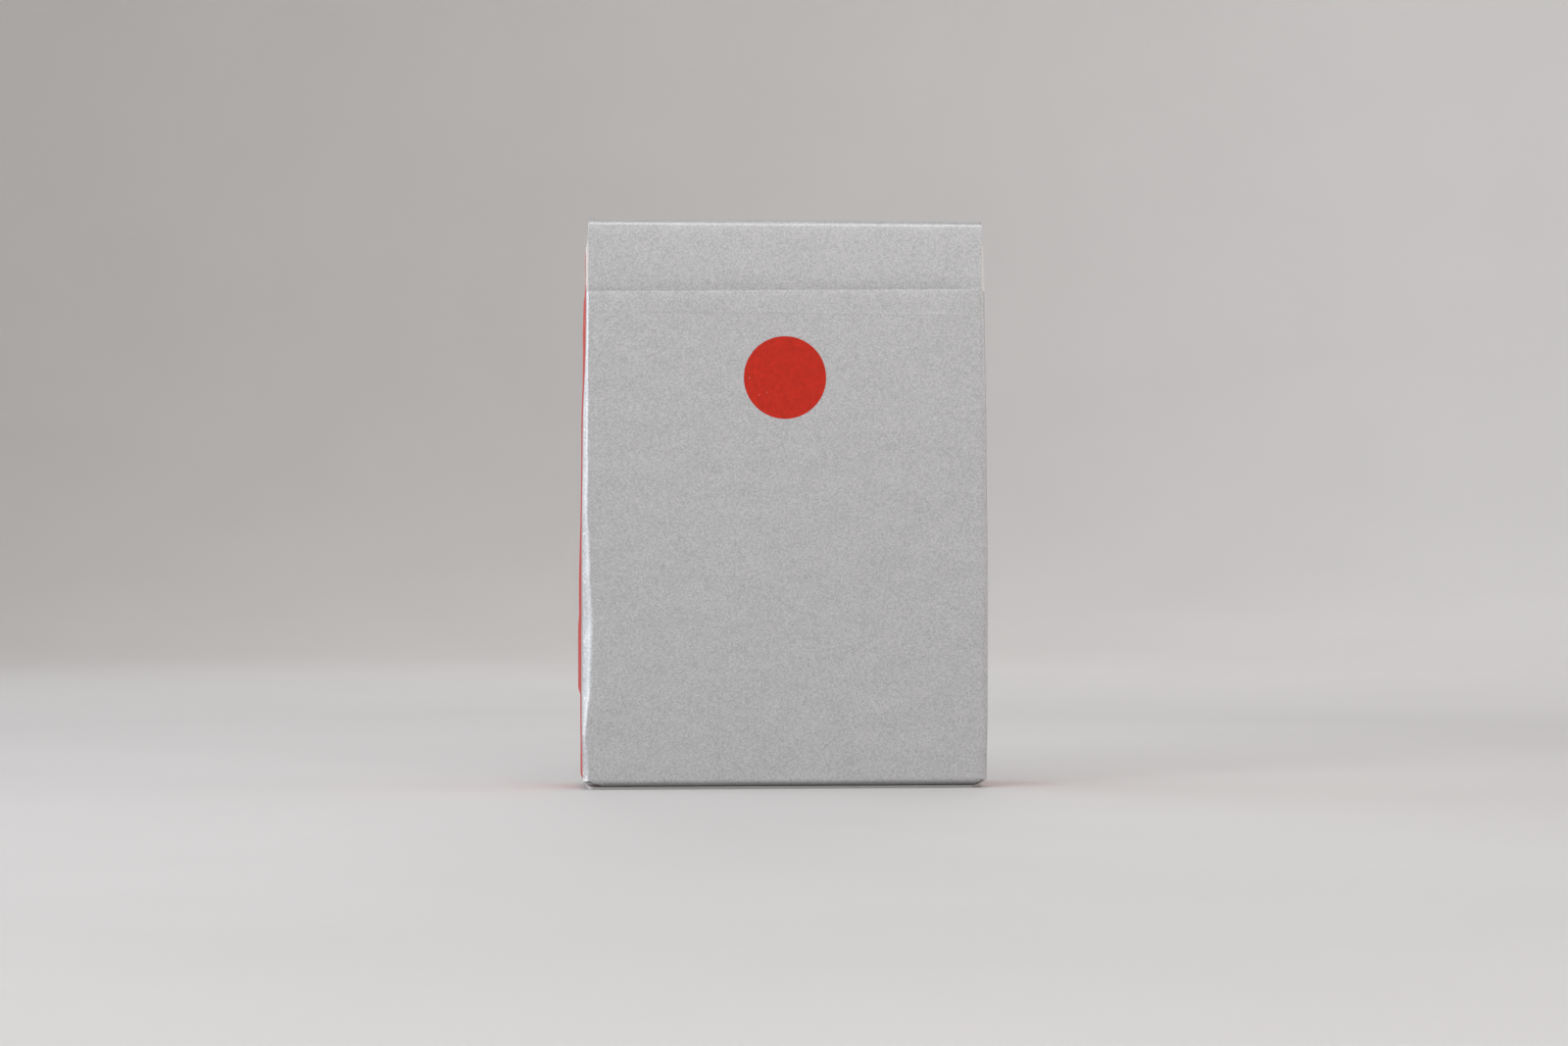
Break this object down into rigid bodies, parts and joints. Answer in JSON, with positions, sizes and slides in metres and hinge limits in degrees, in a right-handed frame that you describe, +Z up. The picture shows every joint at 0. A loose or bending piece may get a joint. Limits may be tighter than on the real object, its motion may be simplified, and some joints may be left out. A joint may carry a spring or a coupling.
{
  "type": "playing card deck",
  "caption": "Deck of playing cards in a closed upright tuck box with a creased hinge panel, lid, tuck tongue, dust flaps and thumb notch.",
  "frame": {"origin": "middle of the bottom face that the box stands on", "axes": "+Z up, -Y towards the hinge side with the printed disc, +X to the right of that side"},
  "size_m": [0.0666, 0.0188, 0.0928],
  "materials": {
    "silver_board": "semi-matte metallic silver coated board",
    "red_board": "red printed board",
    "plain_board": "bare white board",
    "red_ink": "matte red print",
    "card_stock": "coated white card"
  },
  "bodies": {
    "carton": {"front_panel": "silver_board", "rear_panel": "silver_board", "left_side_panel": "red_board", "right_side_panel": "red_board", "glue_flap": "plain_board", "outer_bottom_flap": "silver_board", "inner_bottom_flap": "silver_board", "bottom_dust_flaps": "red_board", "printed_disc": "red_ink"},
    "hinge_flap": {"hinge_panel": "silver_board"},
    "lid": {"lid_panel": "silver_board"},
    "tongue": {"tuck_tongue": "silver_board"},
    "left_flap": {"left_dust_flap": "red_board"},
    "right_flap": {"right_dust_flap": "red_board"},
    "deck": {"jokers": "card_stock", "spade_number_cards": "card_stock", "spade_court_cards": "card_stock", "diamond_number_cards": "card_stock", "diamond_court_cards": "card_stock", "club_court_cards": "card_stock", "club_number_cards": "card_stock", "heart_court_cards": "card_stock", "heart_number_cards": "card_stock"}
  },
  "joints": [
    {"name": "crease_fold", "type": "hinge", "parent": "carton", "child": "hinge_flap", "pos_m": [0, -0.0094, 0.0814], "axis": [1, 0, 0], "range_deg": [0, 100]},
    {"name": "lid_fold", "type": "hinge", "parent": "hinge_flap", "child": "lid", "pos_m": [0, -0.0094, 0.0928], "axis": [1, 0, 0], "range_deg": [0, 100]},
    {"name": "tongue_fold", "type": "hinge", "parent": "lid", "child": "tongue", "pos_m": [0, 0.0082, 0.0928], "axis": [1, 0, 0], "range_deg": [0, 10]},
    {"name": "left_flap_fold", "type": "hinge", "parent": "carton", "child": "left_flap", "pos_m": [-0.0333, 0, 0.09225], "axis": [0, -1, 0], "range_deg": [0, 90]},
    {"name": "right_flap_fold", "type": "hinge", "parent": "carton", "child": "right_flap", "pos_m": [0.0333, 0, 0.09225], "axis": [0, 1, 0], "range_deg": [0, 90]},
    {"name": "deck_slide", "type": "slide", "parent": "carton", "child": "deck", "axis": [0, 0, 1], "range_m": [0, 0.0014]}
  ],
  "couplings": [
    {"joint": "lid_fold", "follows": "crease_fold", "ratio": 1},
    {"joint": "tongue_fold", "follows": "crease_fold", "ratio": 0.1},
    {"joint": "left_flap_fold", "follows": "crease_fold", "ratio": 0.9},
    {"joint": "right_flap_fold", "follows": "crease_fold", "ratio": 0.9}
  ]
}
